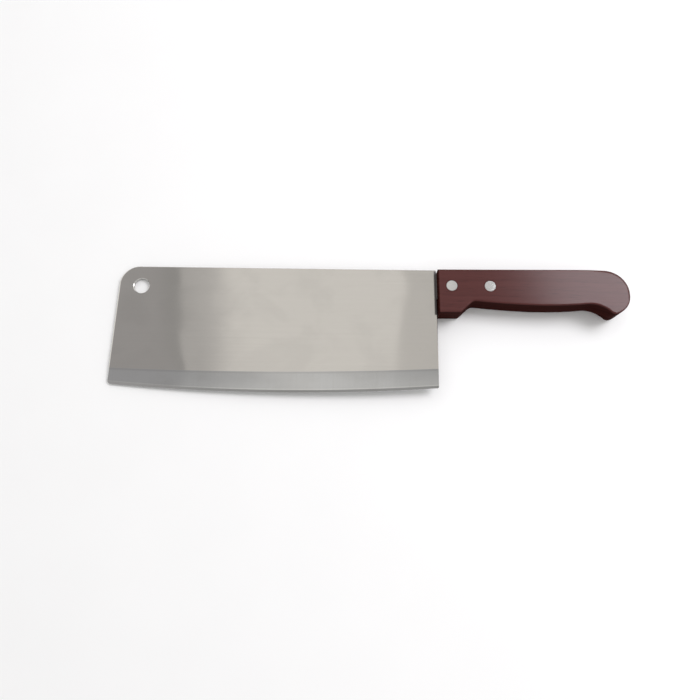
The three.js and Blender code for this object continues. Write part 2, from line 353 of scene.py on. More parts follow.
# %% Arcs, corners and offsets
def arc(centre, radius, start_angle, end_angle, steps):
    angles = np.linspace(start_angle, end_angle, steps + 1)
    return [Vector((centre.x + radius * math.cos(a), centre.y + radius * math.sin(a))) for a in angles]


def corner_arc(before, at, after, radius, steps):
    back = (before - at).normalized()
    ahead = (after - at).normalized()
    half = math.acos(back.dot(ahead)) / 2
    centre = at + (back + ahead).normalized() * (radius / math.sin(half))
    first = at + back * (radius / math.tan(half)) - centre
    turn = math.copysign(math.pi - 2 * half, ahead.x * back.y - ahead.y * back.x)
    from_angle = math.atan2(first.y, first.x)
    return arc(centre, radius, from_angle, from_angle + turn, steps)


def circle_hole(centre, radius, steps):
    return arc(centre, radius, 0, -2 * math.pi, steps)[:-1]


def inset(loop, depths):
    """Moves each point of a loop to its left, into the stock, by its own depth."""
    points = np.array([tuple(p) for p in loop])
    ahead = np.roll(points, -1, axis=0) - points
    ahead /= np.linalg.norm(ahead, axis=1)[:, None]
    left = np.stack([-ahead[:, 1], ahead[:, 0]], axis=1)
    before = np.roll(left, 1, axis=0)
    mitre = (left + before) / (1 + (left * before).sum(axis=1))[:, None]
    return points + mitre * np.asarray(depths)[:, None]


def within(places, loops):
    """Which of the places lie in the stock, by counting the lines crossed on the way out."""
    crossed = np.zeros(len(places), int)
    for loop in loops:
        a = np.array([tuple(p) for p in loop])
        b = np.roll(a, -1, axis=0)
        spans = (a[:, 1] > places[:, None, 1]) != (b[:, 1] > places[:, None, 1])
        drop = np.where(a[:, 1] == b[:, 1], 1, b[:, 1] - a[:, 1])
        at = a[:, 0] + (places[:, None, 1] - a[:, 1]) * (b[:, 0] - a[:, 0]) / drop
        crossed += (spans & (at > places[:, None, 0])).sum(axis=1)
    return crossed % 2 == 1


def ease(values, low, high):
    share = np.clip((np.asarray(values) - low) / (high - low), 0, 1)
    return share * share * (3 - 2 * share)


square = [Vector((0, 0)), Vector((2, 0)), Vector((2, 2)), Vector((0, 2))]
print("inset of a square:", inset(square, [0.5] * 4).round(3).tolist())
print("its middle is within:", bool(within(np.array([(1.0, 1.0)]), [square])[0]))

# %% [markdown]
# Blender can fill an outline with triangles in several ways. `delaunay_2d_cdt` is the one used here,
# because it takes holes and inner lines as well, and keeps every point that it is given. The triangles
# outside the stock, and the slivers that have no width along its straight sides, are thrown away afterwards.

# %% Fill an outline
SLIVER_AREA = 1e-4
SAME_PLACE = 1e-5


def fill(loops, lines=(), extra=()):
    """Triangles between loops of 2D points. Lines and extra points are kept as points of the filling."""
    points, edges = [], []
    for loop in loops:
        first = len(points)
        points += [Vector(p) for p in loop]
        edges += [(first + i, first + (i + 1) % len(loop)) for i in range(len(loop))]
    for line in lines:
        first = len(points)
        points += [Vector(p) for p in line]
        edges += [(first + i, first + i + 1) for i in range(len(line) - 1)]
    points += [Vector(p) for p in extra]
    places, _, faces, came_from, _, _ = delaunay_2d_cdt(points, edges, [], 0, SAME_PLACE)
    flat = np.array([tuple(p) for p in places])
    corners = np.array([flat[list(face)] for face in faces])
    along, aside = corners[:, 1] - corners[:, 0], corners[:, 2] - corners[:, 0]
    areas = np.abs(along[:, 0] * aside[:, 1] - along[:, 1] * aside[:, 0]) / 2
    good = within(corners.mean(axis=1), loops) & (areas > SLIVER_AREA)
    kept = [tuple(face) for face, keep in zip(faces, good) if keep]
    number_of = {old: new for new, olds in enumerate(came_from) for old in olds}
    return flat, kept, number_of


_, square_faces, _ = fill([square])
print("a square fills with", len(square_faces), "triangles")

# %% [markdown]
# ## The blade's outline
#
# The blank is stamped from stainless sheet: a straight spine, a square tip with its upper corner rounded,
# a cutting edge with a shallow belly, and a short tang that goes into the handle. The outline gets a point
# at every level of the ground strip, where it passes the tip and the heel, so that the strip's lines can
# end on the rim.

# %% Blade sizes
END_DEPTH = 77.4
BELLY = 4
HALF_SHEET = 1.0
TIP_RADIUS = 12
TOE_RADIUS = 2.5
HEEL_RADIUS = 1
GRIND_AT_TIP = 10
GRIND_AT_HEEL = 12
GRIND_BELLY = 2.2
HONED_WIDTH = 1.5
HALF_SHOULDER = 0.4
HALF_EDGE = 0.1
TANG_BACK = -2.0
TANG_FOOT = -19.5
TANG_LENGTH = 44
TANG_RADIUS = 7
HALF_TANG = 1.1
TANG_STEP = 0.2
EDGE_STEPS = 100
TIP = -BLADE_LENGTH
HANG_HOLE = Vector((14.2 + TIP, -13.3))
HANG_RADIUS = 5
SHANK_RADIUS = 2.65
RIVET_PLACES = {"front": Vector((8.85, -12.9)), "rear": Vector((32.95, -12.9))}


def belly_share(x):
    return 1 - (1 + 2 * x / BLADE_LENGTH) ** 2


def edge_line(x):
    return -END_DEPTH - BELLY * belly_share(x)


def hone_line(x):
    return edge_line(x) + HONED_WIDTH


def grind_line(x):
    width = GRIND_AT_HEEL + (GRIND_AT_HEEL - GRIND_AT_TIP) * x / BLADE_LENGTH
    return -END_DEPTH + width - GRIND_BELLY * belly_share(x)


for x in (TIP, TIP / 2, 0):
    heights = [round(line(x), 2) for line in (grind_line, hone_line, edge_line)]
    print("at", x, "mm: grind, hone and edge at", heights)

# %% Draw the blank
GRIND_ROWS = [0, 0.15, 0.3, 0.45, 0.6, 0.75, 0.9, 1]


def row_height(x, share):
    return grind_line(x) + (hone_line(x) - grind_line(x)) * share


def at_x(x, line=edge_line):
    return Vector((x, line(x)))


edge_x = np.linspace(TIP, 0, EDGE_STEPS + 1)
toe, heel = at_x(TIP), at_x(0)
tip_corner, spine_end = Vector((TIP, 0)), Vector((0, 0))
tang_end = Vector((TANG_LENGTH, TANG_FOOT))
toe_arc = corner_arc(tip_corner, toe, at_x(edge_x[2]), TOE_RADIUS, 12)
toe_centre = toe_arc[0] + Vector((TOE_RADIUS, 0))


def row_start(share):
    """Where a line of the ground strip meets the tip, or the rounded toe below it, found in a few steps."""
    start = Vector((TIP, row_height(TIP, share)))
    for _ in range(8):
        below = max(0, toe_centre.y - start.y)
        start.x = toe_centre.x - math.sqrt(TOE_RADIUS ** 2 - below ** 2)
        start.y = row_height(start.x, share)
    return start


tip_rows = [row_start(share) for share in GRIND_ROWS]
heel_rows = [Vector((0, row_height(0, share))) for share in GRIND_ROWS]
toe_points = [p for p in tip_rows if p.y < toe_arc[0].y]

blank = sorted([*toe_arc, *toe_points], key=lambda p: -p.y)
blank += [at_x(x) for x in edge_x[2:-1]]
blank += corner_arc(at_x(edge_x[-2]), heel, spine_end, HEEL_RADIUS, 8)
blank += heel_rows[::-1]
blank += [Vector((0, TANG_FOOT)), Vector((TANG_STEP, TANG_FOOT))]
blank += corner_arc(Vector((0, TANG_FOOT)), tang_end, Vector((TANG_LENGTH, TANG_BACK)), TANG_RADIUS, 12)
blank += [Vector((x, TANG_BACK)) for x in (TANG_LENGTH, TANG_STEP, 0)]
blank += [Vector((x, 0)) for x in np.linspace(0, TIP + TIP_RADIUS, 24)[:-1]]
blank += corner_arc(spine_end, tip_corner, toe, TIP_RADIUS, 24)
blank += [p for p in tip_rows if p.y >= toe_arc[0].y]
blade_loops = [blank, circle_hole(HANG_HOLE, HANG_RADIUS, 64)]
blade_loops += [circle_hole(place, SHANK_RADIUS, 32) for place in RIVET_PLACES.values()]
print("the blank has", len(blank), "points and", len(blade_loops) - 1, "holes")

# %% [markdown]
# ## Blade
#
# Both sides are the same filling of the outline, lifted by half the steel that is left there. The sheet
# keeps its thickness down to the grind line. Below it a wheel has hollowed a strip, steep at first and
# flatter towards the edge, and a narrow honed strip finishes it. A boolean cut would give the same shape,
# but with the height worked out at each point the mesh stays clean and the creases are known by name. The
# rim is broken, because a sharp corner never catches the light: with a plain small chamfer along the spine,
# and with a flatter, wider one across the tip, which was eased on a belt.

# %% How thick the steel is
HOLLOW = 0.25
ON_HEEL = 1e-6


def half_steel(x, y):
    """Half the thickness of the blank at a place."""
    if x > ON_HEEL:
        return min(HALF_TANG, HALF_SHEET + (HALF_TANG - HALF_SHEET) * x / TANG_STEP)
    grind, hone, edge = grind_line(x), hone_line(x), edge_line(x)
    if y >= grind:
        return HALF_SHEET
    if y >= hone:
        share = (grind - y) / (grind - hone)
        share *= 1 + HOLLOW - HOLLOW * share
        return HALF_SHEET + (HALF_SHOULDER - HALF_SHEET) * share
    share = min(1, (hone - y) / (hone - edge))
    return HALF_SHOULDER + (HALF_EDGE - HALF_SHOULDER) * share


depths = (0, -70, -74, -78, -80, -81.4)
print("steel down the middle:", [round(2 * half_steel(TIP / 2, y), 2) for y in depths])

# %% A plate with a broken rim
def add_rim(mesh, upper, lower):
    """Walls between two rings of vertices, facing away from the stock."""
    count = len(upper)
    return [
        mesh.faces.new((lower[i], lower[(i + 1) % count], upper[(i + 1) % count], upper[i]))
        for i in range(count)
    ]


def plate(loops, half_at, break_at, lines=()):
    """A plate from its outline, with both sides alike. Returns the mesh, its walls and its line points."""
    mesh = bmesh.new()
    insets = [inset(loop, [break_at(p.x, p.y)[0] for p in loop]) for loop in loops]
    flat, faces, number_of = fill(insets, lines)
    sides = {side: [mesh.verts.new((x, y, side * half_at(x, y))) for x, y in flat] for side in (1, -1)}
    for face in faces:
        mesh.faces.new([sides[1][i] for i in face])
        mesh.faces.new([sides[-1][i] for i in reversed(face)])
    rim_walls, first = [], 0
    for loop in loops:
        inner = [number_of[first + i] for i in range(len(loop))]
        first += len(loop)
        walls = [
            [mesh.verts.new((p.x, p.y, side * (half_at(p.x, p.y) - break_at(p.x, p.y)[1]))) for p in loop]
            for side in (1, -1)
        ]
        add_rim(mesh, [sides[1][i] for i in inner], walls[0])
        rim_walls += add_rim(mesh, walls[0], walls[1])
        add_rim(mesh, walls[1], [sides[-1][i] for i in inner])
    marked = []
    for line in lines:
        numbers = {number_of[first + i] for i in range(len(line))}
        first += len(line)
        marked.append({sides[side][i] for side in (1, -1) for i in numbers})
    return mesh, rim_walls, marked


# %% Build the blade
CHAMFER = 0.25
EASED_REACH = 0.6
EASED_DROP = 0.15
REACH_LIMIT = 0.6
DROP_LIMIT = 0.3
ROW_STEPS = 80


def rim_break(x, y):
    """How far the broken rim reaches in from the outline, and how far it drops. Thin steel limits both."""
    half = half_steel(x, y)
    eased = ease(-x, BLADE_LENGTH - TIP_RADIUS, BLADE_LENGTH)
    reach = CHAMFER + (EASED_REACH - CHAMFER) * eased
    drop = CHAMFER + (EASED_DROP - CHAMFER) * eased
    return min(reach, REACH_LIMIT * half), min(drop, DROP_LIMIT * half)


rim_line = inset(blank, [rim_break(p.x, p.y)[0] for p in blank])
strip_rows = []
for share, start_point, end_point in zip(GRIND_ROWS, tip_rows, heel_rows):
    row = [Vector((x, row_height(x, share))) for x in np.linspace(TIP, 0, ROW_STEPS + 1)[1:-1]]
    strip_rows.append([rim_line[blank.index(start_point)], *row, rim_line[blank.index(end_point)]])
step_line = [Vector((TANG_STEP, TANG_BACK - CHAMFER)), Vector((TANG_STEP, TANG_FOOT + CHAMFER))]
blade_mesh, blade_walls, blade_lines = plate(blade_loops, half_steel, rim_break, [*strip_rows, step_line])
print("blade:", len(blade_mesh.faces), "faces, of which", len(blade_walls), "are walls of the rim")

# %% [markdown]
# Smooth shading alone would round off the creases. So every face is set smooth, and the edges that are
# real creases are marked sharp: those that turn by more than a given angle, and the grind and hone lines,
# which turn by only a few degrees but show clearly in polished steel.

# %% Finish a mesh into a piece
CREASE_ANGLES = {"blade": 10, "handle": 30, "rivet": 25}


def mark_creases(mesh, angle, lines=()):
    """Marks the edges that turn by more than an angle in degrees, or lie on a line, and counts them."""
    mesh.normal_update()
    for face in mesh.faces:
        face.smooth = True
    for edge in mesh.edges:
        on_line = any(edge.verts[0] in line and edge.verts[1] in line for line in lines)
        edge.smooth = not (on_line or edge.calc_face_angle(0) > math.radians(angle))
    return sum(not edge.smooth for edge in mesh.edges)


def make_piece(name, mesh, finishes, matrix, node):
    """Turns a mesh in mm into a piece that stands for a CAD node."""
    mesh.transform(Matrix.Scale(MM, 4))
    piece = mesh_object(name, mesh)
    for finish in finishes:
        piece.data.materials.append(finish)
    piece.matrix_world = matrix
    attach(piece, "root")
    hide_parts(node)
    print("piece", name, "has", len(piece.data.polygons), "faces")


grind_and_hone = [blade_lines[0], blade_lines[len(GRIND_ROWS) - 1]]
print("creases on the blade:", mark_creases(blade_mesh, CREASE_ANGLES["blade"], grind_and_hone), "edges")

# %% [markdown]
# ## Satin steel
#
# A cheap stainless blade is rolled, brushed along its length and then ground across its edge. The place
# on the blade decides which marks show, so the grind and hone lines are worked out once more, this time as
# node maths. Brush marks are noise drawn out into long lines. A darker line is painted just under the grind
# line, a painted darker reflection of the steep top of the hollow, and a lighter line is painted where the
# honed strip begins, a painted highlight of that corner catching the light. The sheet is also never quite
# flat: a slow wave in the bump bends the reflections as thin sheet does. A dark band is painted on the steel
# along the front of the handle, painted shade in the corner where the blade meets it.

# %% Where the marks lie
PAINTED_SHADE_FOOT = -31

satin_steel, start = new_finish("satin_steel")
place = place_in_mm(start)
across = parts_of(place)
x, y = across["X"], across["Y"]
from_middle = 1 + x * (2 / BLADE_LENGTH)
belly = 1 - from_middle * from_middle
edge_height = belly * -BELLY - END_DEPTH
grind_taper = (GRIND_AT_HEEL - GRIND_AT_TIP) / BLADE_LENGTH
grind_height = x * grind_taper + (GRIND_AT_HEEL - END_DEPTH) - belly * GRIND_BELLY
into_grind = grind_height - y
above_hone = y - (edge_height + HONED_WIDTH)
ground = rise(into_grind, -0.12, 0.12)
honed = rise(above_hone, 0.06, -0.06)
# Painted darker reflection: a darker line just under the grind line.
painted_dark_reflection = rise(into_grind, 0, 0.3) * rise(into_grind, 1.8, 0.6)
# Painted highlight: a lighter line where the honed strip begins.
painted_hone_highlight = rise(above_hone, 0, 0.15) * rise(above_hone, 0.9, 0.3)
# Painted shade: a dark band on the steel along the front of the handle, down to its foot.
painted_corner_shade = rise(x, -1.9, -1.0) * rise(y, PAINTED_SHADE_FOOT, PAINTED_SHADE_FOOT + 1) * rise(y, -0.4, -1.2)
print("the marks take", len(satin_steel.node_tree.nodes), "nodes")

# %% Satin steel
SHEET_STEEL = (0.598, 0.578, 0.55, 1)
GROUND_STEEL = (0.585, 0.59, 0.59, 1)
HONED_STEEL = (0.62, 0.62, 0.61, 1)
# Colours of the painted darker reflection under the grind line and of the painted highlight at the hone line.
PAINTED_DARK_REFLECTION_STEEL = (0.46, 0.46, 0.46, 1)
PAINTED_HIGHLIGHT_STEEL = (0.76, 0.76, 0.74, 1)
WORN_STEEL = (0.42, 0.41, 0.39, 1)
# Colour of the painted shade along the front of the handle.
PAINTED_SHADE_COLOUR = (0.045, 0.036, 0.036, 1)

brushed = grain(place, (0.012, 5.0, 0.5), detail=4, roughness=0.6)
wheel_marks = grain(place, (4.0, 0.06, 0.5), detail=4, roughness=0.6)
marks = mix_values(ground, brushed, wheel_marks)
smudges = grain(place, (0.03, 0.04, 0.04), detail=3, roughness=0.55, distortion=0.4)
sway = grain(place, (0.014, 0.018, 0.01), detail=1)

steel_colour = mix_colours(ground, SHEET_STEEL, GROUND_STEEL)
# The next two mixes are painted light: a darker reflection under the grind line and a highlight at the hone
# line.
steel_colour = mix_colours(painted_dark_reflection * 0.5, steel_colour, PAINTED_DARK_REFLECTION_STEEL)
steel_colour = mix_colours(painted_hone_highlight * 0.6, steel_colour, PAINTED_HIGHLIGHT_STEEL)
steel_colour = mix_colours(honed, steel_colour, HONED_STEEL)
steel_colour = mix_colours(rise(marks, 0.35, 0.75, 0, 0.12), steel_colour, WORN_STEEL)
steel_colour = mix_colours(rise(smudges, 0.42, 0.66, 0, 0.16), steel_colour, WORN_STEEL)
# Painted shade along the front of the handle; the band is also made dull and not metal.
steel_colour = mix_colours(painted_corner_shade * 0.95, steel_colour, PAINTED_SHADE_COLOUR)
steel_roughness = mix_values(ground, rise(smudges, 0.3, 0.7, 0.06, 0.1), 0.1) + (marks - 0.5) * 0.05
steel_height = sway * 0.0009 + marks * 0.0000003

principled(start, satin_steel, {
    "Base Color": steel_colour,
    "Metallic": 1.0 - painted_corner_shade,
    "Roughness": steel_roughness + painted_corner_shade * 0.3,
    "Normal": bump(steel_height),
})

# %% [markdown]
# The rim's wall was sheared by the stamping tool, so it is duller, with fine lines through its thickness.

# %% Sheared steel
SHEARED_LIGHT = (0.62, 0.61, 0.59, 1)
SHEARED_DARK = (0.42, 0.41, 0.4, 1)

sheared_steel, start = new_finish("sheared_steel")
shear_lines = grain(place_in_mm(start), (3.0, 3.0, 0.3), detail=3)
principled(start, sheared_steel, {
    "Base Color": mix_colours(shear_lines, SHEARED_LIGHT, SHEARED_DARK),
    "Metallic": 1.0,
    "Roughness": rise(shear_lines, 0.2, 0.8, 0.3, 0.48),
    "Normal": bump(shear_lines * 0.00001),
})

for face in blade_walls:
    face.material_index = 1
make_piece("steel_blade", blade_mesh, [satin_steel, sheared_steel], KNIFE, "blade")

# %% [markdown]
# ## The handle's outline
#
# One piece of hardwood: a straight back, a deep front that stops the fingers, a swelling grip and a hook
# at the butt for the little finger. It is drawn in its own frame from the front of its back, tilted by
# half a degree, and resampled so that its points are evenly spaced. At the front it is drawn too long: the
# waste is sawn off square once the edges are rounded.

# %% Handle sizes
HANDLE_LENGTH = 120.8
HANDLE_DROP = 1.7
HANDLE_RISE = math.radians(0.55)
HALF_HANDLE = 7
ROUNDING = 1.0
FRONT_WASTE = 2.8
GUARD_DEPTH = 28.9
GUARD_LENGTH = 13.4
GUARD_SLOPE = math.radians(43)
GUARD_RADIUS = 1.9
GUARD_FILLET = 4
GRIP_DEPTH = 21.2
SWELL_SLOPE = math.radians(6)
NECK_DEPTH = 23.1
NECK_FROM_BUTT = 26.6
HOOK_RADIUS = 18
BUTT_RADIUS = 15.2
BEAK_RADIUS = 3.6
GLUE_GAP = 0.25

print("handle:", HANDLE_LENGTH, "mm long,", GUARD_DEPTH, "mm deep,", 2 * HALF_HANDLE, "mm thick")

# %% Corners of the handle
def crossing(centre_a, radius_a, centre_b, radius_b):
    """Where two circles cross, on the left of the way from the first to the second."""
    way = centre_b - centre_a
    along = (radius_a ** 2 - radius_b ** 2 + way.length_squared) / (2 * way.length)
    aside = math.sqrt(radius_a ** 2 - along ** 2)
    way.normalize()
    return centre_a + way * along + Vector((-way.y, way.x)) * aside


def angle_from(centre, point):
    return math.atan2(point.y - centre.y, point.x - centre.x)


butt = Vector((HANDLE_LENGTH - BUTT_RADIUS, -BUTT_RADIUS))
hook = Vector((HANDLE_LENGTH - NECK_FROM_BUTT, -NECK_DEPTH - HOOK_RADIUS))
beak = crossing(butt, BUTT_RADIUS - BEAK_RADIUS, hook, HOOK_RADIUS + BEAK_RADIUS)
waste_top, waste_foot = Vector((-FRONT_WASTE, 0)), Vector((-FRONT_WASTE, -GUARD_DEPTH))
guard_end = Vector((GUARD_LENGTH, -GUARD_DEPTH))
guard_rise = GUARD_DEPTH - GRIP_DEPTH
grip_front = guard_end + Vector((guard_rise / math.tan(GUARD_SLOPE), guard_rise))
swell = Vector((math.cos(SWELL_SLOPE), -math.sin(SWELL_SLOPE)))
guard_hollow = corner_arc(guard_end, grip_front, grip_front + swell, GUARD_FILLET, 16)
hook_end = math.pi / 2 + SWELL_SLOPE
grip_end = hook + Vector((math.cos(hook_end), math.sin(hook_end))) * HOOK_RADIUS
third = (grip_end - guard_hollow[-1]).length / 3
swell_rear = grip_end + Vector((-swell.x, swell.y)) * third
swell_front = guard_hollow[-1] + swell * third
print("the beak is at", [round(c, 2) for c in beak], "and the grip ends at", [round(c, 2) for c in grip_end])

# %% Draw the handle
def swelling(t):
    """A place on the swelling grip, a Bezier curve from the guard to the hook."""
    return (
        guard_hollow[-1] * (1 - t) ** 3 + swell_front * (3 * t * (1 - t) ** 2)
        + swell_rear * (3 * t * t * (1 - t)) + grip_end * t ** 3
    )


butt_angle = angle_from(butt, beak)
hook_angle = angle_from(hook, beak)
back_point = Vector((grip_front.x, 0))
drawn = corner_arc(back_point, waste_top, waste_foot, FRONT_WASTE, 24)
drawn += corner_arc(waste_top, waste_foot, guard_end, FRONT_WASTE, 24)
drawn += corner_arc(waste_foot, guard_end, grip_front, GUARD_RADIUS, 24)
drawn += guard_hollow
drawn += [swelling(t) for t in np.linspace(0, 1, 41)[1:-1]]
drawn += arc(hook, HOOK_RADIUS, hook_end, hook_angle, 40)
drawn += arc(beak, BEAK_RADIUS, hook_angle - math.pi, butt_angle, 32)[1:]
drawn += arc(butt, BUTT_RADIUS, butt_angle, math.pi / 2, 60)[1:]
print("handle drawn with", len(drawn), "points")

# %% Even spacing
SPACING = 0.7
BUTT_SOFTENING = 1.6
# The rounding grows along the handle between these two places, and between these two levels above the beak.
BUTT_START = 92
BUTT_FULL = 112
BEAK_LEVEL = -25
PALM_LEVEL = -15


def evenly(points, spacing):
    """The same closed line with evenly spaced points."""
    line = np.array([tuple(p) for p in [*points, points[0]]])
    steps = np.linalg.norm(np.diff(line, axis=0), axis=1)
    run = np.concatenate([[0], np.cumsum(steps)])
    wanted = np.linspace(0, run[-1], round(run[-1] / spacing), endpoint=False)
    return np.stack([np.interp(wanted, run, line[:, 0]), np.interp(wanted, run, line[:, 1])], axis=1)


level = evenly(drawn, SPACING)
butt_share = ease(level[:, 0], BUTT_START, BUTT_FULL) * ease(level[:, 1], BEAK_LEVEL, PALM_LEVEL)
round_by = ROUNDING + BUTT_SOFTENING * butt_share
HANDLE_SEAT = Matrix.Translation((GLUE_GAP, -HANDLE_DROP, 0)) @ Matrix.Rotation(HANDLE_RISE, 4, "Z")
handle_loop = np.array([(HANDLE_SEAT @ Vector((*p, 0))).to_2d() for p in level])
print("handle outline:", len(handle_loop), "points, rounded by up to", round(round_by.max(), 2), "mm")

# %% [markdown]
# ## Handle
#
# The wood is sawn to the outline and its edges are rounded on a belt sander, more at the butt, which sits
# in the palm. A Bevel modifier could round the edges evenly, but here the rounding changes along the line,
# so the rings of the rounding are laid one by one, each a little further in and a little higher. The flat
# sides are filled with a grid of points that lets them crown by a tenth of a millimetre, as sanded wood
# does, which gives the varnish a living highlight.

# %% Rings of the rounding, and the crowned sides
ROUND_STEPS = 10
CROWN = 0.12
CROWN_REACH = 7.0
GRID = 1.4
GRID_MARGIN = 0.5


def from_outline(places):
    """Distance of each place from the handle's outline."""
    span = np.roll(handle_loop, -1, axis=0) - handle_loop
    away = places[:, None, :] - handle_loop
    share = np.clip((away * span).sum(axis=2) / (span * span).sum(axis=1), 0, 1)
    return np.linalg.norm(away - share[:, :, None] * span, axis=2).min(axis=1)


def side_height(distance):
    return HALF_HANDLE - CROWN * (1 - ease(distance, ROUNDING, CROWN_REACH))


rings = []
for angle in np.linspace(0, math.pi / 2, ROUND_STEPS + 1):
    ring = inset(handle_loop, round_by * (1 - math.cos(angle)))
    rings.append((ring, side_height(round_by) - round_by * (1 - math.sin(angle))))
side_edge = rings[-1][0]
low, high = side_edge.min(axis=0), side_edge.max(axis=0)
grid = np.array([(x, y) for x in np.arange(low[0], high[0], GRID) for y in np.arange(low[1], high[1], GRID)])
grid = grid[within(grid, [inset(handle_loop, round_by + GRID_MARGIN)])]
side_points, side_faces, side_number = fill([side_edge], extra=grid)
side_heights = side_height(from_outline(side_points))
print("each side:", len(side_points), "points, crowned by", round(np.ptp(side_heights), 3), "mm")

# %% Build the block of wood
wood_mesh = bmesh.new()
levels = {}
for side in (1, -1):
    cap = [wood_mesh.verts.new((x, y, side * z)) for (x, y), z in zip(side_points, side_heights)]
    for face in side_faces:
        wood_mesh.faces.new([cap[i] for i in (face if side > 0 else face[::-1])])
    levels[side] = [
        [wood_mesh.verts.new((x, y, side * z)) for (x, y), z in zip(ring, heights)]
        for ring, heights in rings[:-1]
    ]
    levels[side].append([cap[side_number[i]] for i in range(len(handle_loop))])
stack = [*reversed(levels[1]), *levels[-1]]
for upper, lower in zip(stack, stack[1:]):
    add_rim(wood_mesh, upper, lower)
print("block of wood:", len(wood_mesh.faces), "faces, closed:", all(e.is_manifold for e in wood_mesh.edges))

# %% [markdown]
# The front is sawn square, and its edges are just broken. The tang sits in a saw cut that is open at the
# front and along the back, and two stepped bores take the rivets. These cuts cross the block, so here a
# Boolean modifier is the right tool: each cutter is a closed body, and the modifier's result is kept as the
# new mesh.

# %% Prisms and turned bodies
TURNED_STEPS = 72


def prism(loop, half):
    """A body with an outline as its upper and lower side."""
    mesh = bmesh.new()
    upper = [mesh.verts.new((p.x, p.y, half)) for p in loop]
    lower = [mesh.verts.new((p.x, p.y, -half)) for p in loop]
    mesh.faces.new(upper)
    mesh.faces.new(lower[::-1])
    add_rim(mesh, upper, lower)
    return mesh


def turned(profile, steps=TURNED_STEPS):
    """A body turned round the z axis, from (radius, height) points that start and end on the axis."""
    mesh = bmesh.new()
    turns = np.linspace(0, 2 * math.pi, steps, endpoint=False)
    rows = [
        [mesh.verts.new((radius * math.cos(a), radius * math.sin(a), height)) for a in turns]
        for radius, height in profile[1:-1]
    ]
    for lower, upper in zip(rows, rows[1:]):
        add_rim(mesh, upper, lower)
    first = mesh.verts.new((0, 0, profile[0][1]))
    last = mesh.verts.new((0, 0, profile[-1][1]))
    for i in range(steps):
        mesh.faces.new((first, rows[0][(i + 1) % steps], rows[0][i]))
        mesh.faces.new((last, rows[-1][i], rows[-1][(i + 1) % steps]))
    return mesh


drum = turned([(0, -1), (1, -1), (1, 1), (0, 1)])
print("a drum has", len(drum.faces), "faces, closed:", all(e.is_manifold for e in drum.edges))
drum.free()

# %% Cutters
CLEARANCE = 0.1
RIVET_RADIUS = 3.5
BORE_RADIUS = RIVET_RADIUS + CLEARANCE
HEAD_TOP = 6.95
HEAD_FOOT = 4.95
BORE_STEP = HEAD_FOOT - CLEARANCE
FRONT_BREAK = 0.2
PAST = 12

saw_end = Vector((TANG_LENGTH + CLEARANCE, TANG_FOOT - CLEARANCE))
saw_mouth = Vector((-PAST, saw_end.y))
saw_top = Vector((saw_end.x, PAST))
saw_round = corner_arc(saw_mouth, saw_end, saw_top, TANG_RADIUS, 16)
saw_cut = [saw_mouth, *saw_round, saw_top, Vector((-PAST, PAST))]
bore = [
    (0, -PAST), (BORE_RADIUS, -PAST), (BORE_RADIUS, -BORE_STEP), (SHANK_RADIUS, -BORE_STEP),
    (SHANK_RADIUS, BORE_STEP), (BORE_RADIUS, BORE_STEP), (BORE_RADIUS, PAST), (0, PAST),
]
slant = PAST - HALF_HANDLE + FRONT_BREAK
front_cut = prism([Vector(p) for p in (
    (-PAST, -PAST), (slant, -PAST), (0, FRONT_BREAK - HALF_HANDLE),
    (0, HALF_HANDLE - FRONT_BREAK), (slant, PAST), (-PAST, PAST),
)], 2 * GUARD_DEPTH)
front_cut.transform(Matrix.Rotation(math.radians(90), 4, "X"))
back_break = prism([Vector(p) for p in (
    (-PAST, -PAST - FRONT_BREAK), (PAST + FRONT_BREAK, PAST), (-PAST, PAST),
)], PAST)
foot_break = prism([Vector((x, y - GUARD_DEPTH)) for x, y in (
    (-PAST, -PAST), (PAST + FRONT_BREAK, -PAST), (-PAST, PAST + FRONT_BREAK),
)], PAST)
cutters = [front_cut, back_break, foot_break]
for cutter in cutters:
    cutter.transform(HANDLE_SEAT)
cutters.append(prism(saw_cut, HALF_TANG + CLEARANCE))
for spot in RIVET_PLACES.values():
    drill = turned(bore)
    bmesh.ops.translate(drill, vec=(spot.x, spot.y, 0), verts=drill.verts)
    cutters.append(drill)
print("cutters:", [(len(c.faces), all(e.is_manifold for e in c.edges)) for c in cutters])

# %% Cut the wood
SLIVER = 0.01


def carve(mesh, cutters):
    """The mesh less its cutters, with the slivers along the cuts closed up and many-sided faces split."""
    block = mesh_object("block", mesh)
    tools = [mesh_object("cutter", cutter) for cutter in cutters]
    for tool in tools:
        cut = block.modifiers.new("cut", "BOOLEAN")
        cut.operation = "DIFFERENCE"
        cut.solver = "EXACT"
        cut.object = tool
    carved = bmesh.new()
    carved.from_object(block, bpy.context.evaluated_depsgraph_get())
    for used in (block, *tools):
        bpy.data.objects.remove(used)
    bmesh.ops.remove_doubles(carved, verts=carved.verts, dist=SLIVER)
    bmesh.ops.dissolve_degenerate(carved, edges=carved.edges, dist=SLIVER)
    many_sided = [face for face in carved.faces if len(face.verts) > 4]
    bmesh.ops.triangulate(carved, faces=many_sided, ngon_method="BEAUTY")
    return carved


wood_mesh = carve(wood_mesh, cutters)
print("carved wood:", len(wood_mesh.faces), "faces, closed:", all(e.is_manifold for e in wood_mesh.edges))

# %% [markdown]
# Wet varnish draws back from an edge, so the coat is thinner there. How near a point is to a rounded edge is
# known here from the drawing, so it is stored on the mesh as an attribute that the finish can read.

# %% Where the varnish is thin
THINNEST = 0.35 * ROUNDING
FULL_COAT = 1.1 * ROUNDING


